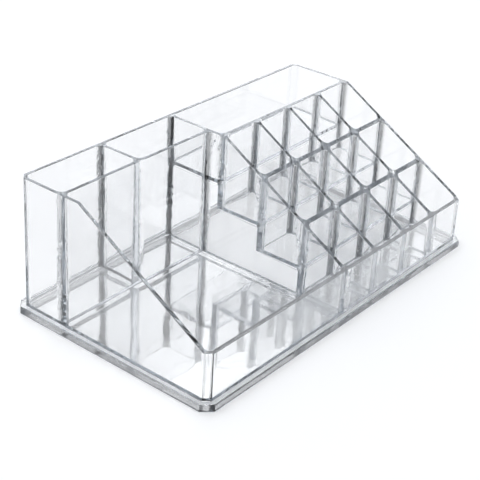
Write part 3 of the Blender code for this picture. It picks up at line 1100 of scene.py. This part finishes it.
@dataclass(frozen=True)
class ClearPlastic:
    """The moulding's plastic: clear, glossy, slightly bluish where light goes far in it, with painted shade.
    """

    name: str = "clear_plastic"
    ior: float = 1.57
    absorption: tuple[float, float, float, float] = (0.58, 0.62, 0.66, 1.0)
    density: float = 24.0
    swell: float = 0.00026
    ripple: float = 0.000012
    haze: float = 0.006
    chatter: float = 0.0012
    # Share of the light that painted shade takes off the colour of a fully marked face
    shade: float = 0.85

    def build(self, waviness: bpy.types.NodeTree) -> bpy.types.Material:
        """Makes the material, with the group that shapes the moulded faces.

        The joint mask makes faces let light pass unbent: alpha = 1 - mask. The painted shade mask darkens the
        colour as painted shade, up to the share in shade off the light that passes:
        colour = 1 - shade * mask.
        """
        material = bpy.data.materials.new(self.name)
        material.use_nodes = True
        tree = material.node_tree
        masks = {}
        for name in (JOINT_MASK, ROUND_MASK, PAINTED_SHADE_MASK):
            mask = tree.nodes.new("ShaderNodeAttribute")
            mask.attribute_name = name
            masks[name] = mask.outputs["Fac"]
        waves = tree.nodes.new("ShaderNodeGroup")
        waves.node_tree = waviness
        feed(tree, waves, {
            "Vector": tree.nodes.new("ShaderNodeTexCoord").outputs["Object"],
            "Swell": self.swell,
            "Ripple": self.ripple,
            "Haze": self.haze,
            "Chatter": self.chatter,
            "Rounds": masks[ROUND_MASK],
        })
        bump = add_node(tree, "Bump", {"Distance": 1.0, "Height": waves.outputs["Height"]})
        feed(tree, tree.nodes["Principled BSDF"], {
            "IOR": self.ior,
            "Transmission Weight": 1.0,
            "Roughness": waves.outputs["Roughness"],
            "Normal": bump.outputs["Normal"],
            "Alpha": combined(tree, "MULTIPLY_ADD", masks[JOINT_MASK], -1.0, 1.0),
            # Painted shade: the colour darkens where the painted shade mask is set
            "Base Color": combined(tree, "MULTIPLY_ADD", masks[PAINTED_SHADE_MASK], -self.shade, 1.0),
        })
        depth = add_node(tree, "VolumeAbsorption", {"Color": self.absorption, "Density": self.density})
        feed(tree, tree.nodes["Material Output"], {"Volume": depth.outputs["Volume"]})
        return material


@dataclass(frozen=True)
class Viewpoint:
    """The camera at the photograph's viewing angle."""

    eye: tuple[float, float, float] = (-0.4616, -0.3487, 0.3403)
    azimuth: float = math.radians(52.06)
    elevation: float = math.radians(27.14)
    roll: float = math.radians(-3.31)
    lens: float = 95.0
    sensor: float = 36.0
    shift_y: float = -0.0833
    clip_start: float = 0.01

    def build(self) -> None:
        """Makes the scene's camera. Its axes are built from the azimuth, the elevation and the roll."""
        back = Vector((
            -math.sin(self.azimuth) * math.cos(self.elevation),
            -math.cos(self.azimuth) * math.cos(self.elevation),
            math.sin(self.elevation),
        ))
        level = Vector((0.0, 0.0, 1.0)).cross(back).normalized()
        upright = back.cross(level)
        right = level * math.cos(self.roll) - upright * math.sin(self.roll)
        up = back.cross(right)
        data = bpy.data.cameras.new("camera")
        data.lens = self.lens
        data.sensor_width = self.sensor
        data.shift_y = self.shift_y
        data.clip_start = self.clip_start
        camera = link(bpy.data.objects.new("camera", data))
        turn = Matrix((right, up, back)).transposed().to_4x4()
        camera.matrix_world = Matrix.Translation(self.eye) @ turn
        bpy.context.scene.camera = camera


def towards(azimuth: float, elevation: float) -> Vector:
    """Unit vector at an angle from +X in plan and an angle over the ground."""
    level = math.cos(elevation)
    return Vector((math.cos(azimuth) * level, math.sin(azimuth) * level, math.sin(elevation)))


@dataclass(frozen=True)
class Softbox:
    """A soft rectangular lamp that stands beside the table and faces the object."""

    name: str
    azimuth: float
    elevation: float
    distance: float
    width: float
    height: float
    radiance: float
    lights_table: bool = True

    def build(self, aim: tuple[float, float, float]) -> None:
        """Makes the lamp. Its power = pi * area * radiance.

        Args:
            aim: The point that the lamp faces.
        """
        data = bpy.data.lights.new(self.name, "AREA")
        data.shape = "RECTANGLE"
        data.size, data.size_y = self.width, self.height
        data.energy = math.pi * self.width * self.height * self.radiance
        away = towards(self.azimuth, self.elevation)
        lamp = link(bpy.data.objects.new(self.name, data))
        lamp.location = Vector(aim) + self.distance * away
        lamp.rotation_euler = away.to_track_quat("Z", "Y").to_euler()
        lamp.visible_diffuse = self.lights_table


@dataclass(frozen=True)
class Sheet:
    """A flat sheet that the object stands on, a little below it."""

    name: str
    drop: float
    white: float
    roughness: float
    metallic: float = 0.0

    def build(self, outline: np.ndarray) -> None:
        """Makes the sheet.

        Args:
            outline: Points as n x 2, counter-clockwise.
        """
        mesh = bpy.data.meshes.new(self.name)
        mesh.from_pydata(with_height(outline, -self.drop).tolist(), [], [tuple(range(len(outline)))])
        material = bpy.data.materials.new(self.name)
        material.use_nodes = True
        colour = (self.white, self.white, self.white, 1.0)
        surface = {"Base Color": colour, "Roughness": self.roughness, "Metallic": self.metallic}
        feed(material.node_tree, material.node_tree.nodes["Principled BSDF"], surface)
        mesh.materials.append(material)
        sheet = link(bpy.data.objects.new(self.name, mesh))


@dataclass(frozen=True)
class Studio:
    """The white table, the light round it and how deep the light is followed in the plastic."""

    table: Sheet = Sheet("table", drop=0.0003, white=0.95, roughness=0.60)
    table_size: float = 12.0
    gloss: Sheet = Sheet("gloss_sheet", drop=0.0001, white=0.88, roughness=0.005, metallic=0.8)
    # Painted shade: a matte sheet a little darker than the table, under the hollow of the stairs
    painted_stair_shade: Sheet = Sheet("painted_shade_sheet", drop=0.0001, white=0.84, roughness=0.60)
    gloss_overlap: float = 0.0005
    gloss_cut: float = 0.0030
    gloss_steps: int = 2
    overhead_level: float = 0.27
    overhead_width: float = math.radians(20.0)
    room_bright: float = 1.0
    room_dark: float = 0.12
    room_colour: tuple[float, float, float, float] = (0.945, 0.965, 1.0, 1.0)
    dark_azimuth: float = math.radians(318.0)
    dark_elevation: float = math.radians(15.0)
    dark_turn: tuple[float, float] = (0.45, 0.90)
    backlight: Softbox = Softbox(
        name="backlight",
        azimuth=math.radians(38.0),
        elevation=math.radians(30.0),
        distance=1.2,
        width=1.2,
        height=1.3,
        radiance=0.4,
        lights_table=False,
    )
    aim: tuple[float, float, float] = (0.0, 0.0, 0.03)
    bounces: int = 40
    glossy_bounces: int = 24
    transparent_bounces: int = 96

    def ground(self, sizes: Sizes) -> None:
        """A large matte table, and a glossy sheet just under the floor of the object that mirrors its walls.

        The glossy sheet ends where the hollow under the stairs begins. There a matte sheet, a little darker
        than the table, is painted shade on the ground under the stairs.

        Args:
            sizes: The moulding's sizes, which give the sheets' outlines.
        """
        half = self.table_size / 2
        self.table.build(np.array([(-half, -half), (half, -half), (half, half), (-half, half)]))
        inset = sizes.rim_width - self.gloss_overlap
        length, depth = sizes.half_length - inset, sizes.half_depth - inset
        sides = (-length, length, -depth, depth)
        ring = Ring.cut(sides, self.gloss_cut, self.gloss_overlap, self.gloss_steps).points
        front, left = sizes.hollow_ends[0], sizes.hollow_left
        kept = (ring[:, 0] < left) | (ring[:, 1] < front)
        notch = [(length, front), (left, front), (left, depth)]
        self.gloss.build(np.insert(ring[kept], int(np.argmin(kept)), notch, axis=0))
        # Painted shade on the ground under the stairs
        self.painted_stair_shade.build(np.array([(left, front), (length, front), (length, depth), (left, depth)]))

    def room(self) -> None:
        """A white room with one dark side, which draws the dark lines in the plastic.

        The level falls as the cosine between a direction and the dark side's direction rises.
        """
        world = bpy.data.worlds.new("studio")
        bpy.context.scene.world = world
        world.use_nodes = True
        tree = world.node_tree
        facing = add_node(tree, "VectorMath", {
            0: tree.nodes.new("ShaderNodeTexCoord").outputs["Generated"],
            1: towards(self.dark_azimuth, self.dark_elevation),
        })
        facing.operation = "DOT_PRODUCT"
        start, end = self.dark_turn
        level = add_node(tree, "MapRange", {
            "Value": facing.outputs["Value"],
            "From Min": start,
            "From Max": end,
            "To Min": self.room_bright,
            "To Max": self.room_dark,
        })
        level.interpolation_type = "SMOOTHSTEP"
        strength = level.outputs["Result"]
        feed(tree, tree.nodes["Background"], {"Color": self.room_colour, "Strength": strength})

    def lamps(self) -> None:
        """A wide light straight above for the table, and a soft lamp behind that the plastic mirrors."""
        data = bpy.data.lights.new("overhead", "SUN")
        data.energy = math.pi * self.overhead_level
        data.angle = self.overhead_width
        link(bpy.data.objects.new("overhead", data))
        self.backlight.build(self.aim)

    def follow_light(self) -> None:
        """Follows the light through enough faces for a view through many walls."""
        scene = bpy.context.scene
        scene.view_settings.view_transform = "Standard"
        scene.cycles.blur_glossy = 0.0
        scene.cycles.max_bounces = self.bounces
        scene.cycles.glossy_bounces = self.glossy_bounces
        scene.cycles.transmission_bounces = self.bounces
        scene.cycles.transparent_max_bounces = self.transparent_bounces


def main() -> None:
    """Builds the looks in order and reports each piece."""
    logging.basicConfig(level=logging.INFO, format="%(message)s")
    sizes = Sizes()
    studio = Studio()
    studio.follow_light()
    studio.ground(sizes)
    studio.room()
    studio.lamps()
    Viewpoint().build()
    waviness = MouldWaviness().build()
    # One plastic in three copies: the outer walls' copy absorbs half as much, painted light that makes the
    # outer walls lighter than the inner ones; the base's copy has a stronger swell
    outer_plastic = ClearPlastic("clear_plastic_outer", density=12.0).build(waviness)
    inner_plastic = ClearPlastic("clear_plastic_inner", density=24.0).build(waviness)
    base_plastic = ClearPlastic("clear_plastic_base", density=24.0, swell=0.00040).build(waviness)
    moulding = Moulding(sizes, bpy.data.materials.new("joint"))
    moulding.cast(inner_plastic)
    places = Panels(sizes)
    groups = (
        (places.base(), base_plastic),
        (places.outer_walls(), outer_plastic),
        (places.inner_walls(), inner_plastic),
        (places.cross_walls(), inner_plastic),
        (places.dividers(), inner_plastic),
        (places.treads(), inner_plastic),
    )
    for group, plastic in groups:
        for name, regions in group.items():
            moulding.part(name, regions, plastic)
    discard([moulding.whole])


if __name__ == "__main__":
    main()
